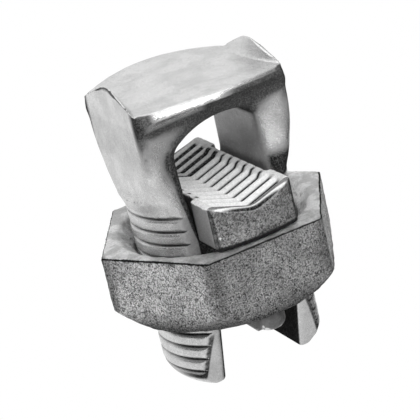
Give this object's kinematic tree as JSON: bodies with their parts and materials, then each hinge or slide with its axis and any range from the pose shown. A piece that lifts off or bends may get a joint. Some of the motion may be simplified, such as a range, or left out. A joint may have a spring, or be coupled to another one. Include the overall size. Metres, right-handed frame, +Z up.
{
  "type": "split bolt connector",
  "caption": "Split bolt connector for line wires: forged bolt with an arched window and split threaded legs, hex nut, and a ridged pressure bar that the nut pushes up.",
  "frame": {"origin": "on the bolt axis, at the level of the leg ends, the lowest point of the connector", "axes": "+Z up the bolt axis towards the head, X from leg to leg, Y along the wires through the window"},
  "size_m": [0.0166, 0.0142, 0.0208],
  "materials": {
    "bolt_metal": "satin tin plate on a bronze forging",
    "nut_metal": "dull grainy tin plate on a bronze casting",
    "bar_metal": "satin tin plate on a bronze bar"
  },
  "bodies": {
    "bolt": {"split_bolt": "bolt_metal"},
    "bar": {"pressure_bar": "bar_metal"},
    "nut": {"hex_nut": "nut_metal"}
  },
  "joints": [
    {"name": "bar_slide", "type": "slide", "parent": "bolt", "child": "bar", "axis": [0, 0, 1], "range_m": [-0.0036, 0.0027]},
    {"name": "nut_turn", "type": "hinge", "parent": "bar", "child": "nut", "pos_m": [0, 0, 0.0076], "axis": [0, 0, 1], "range_deg": [-1440, 1080]}
  ],
  "couplings": [
    {"joint": "bar_slide", "follows": "nut_turn", "m_per_rad": 0.00014324}
  ]
}
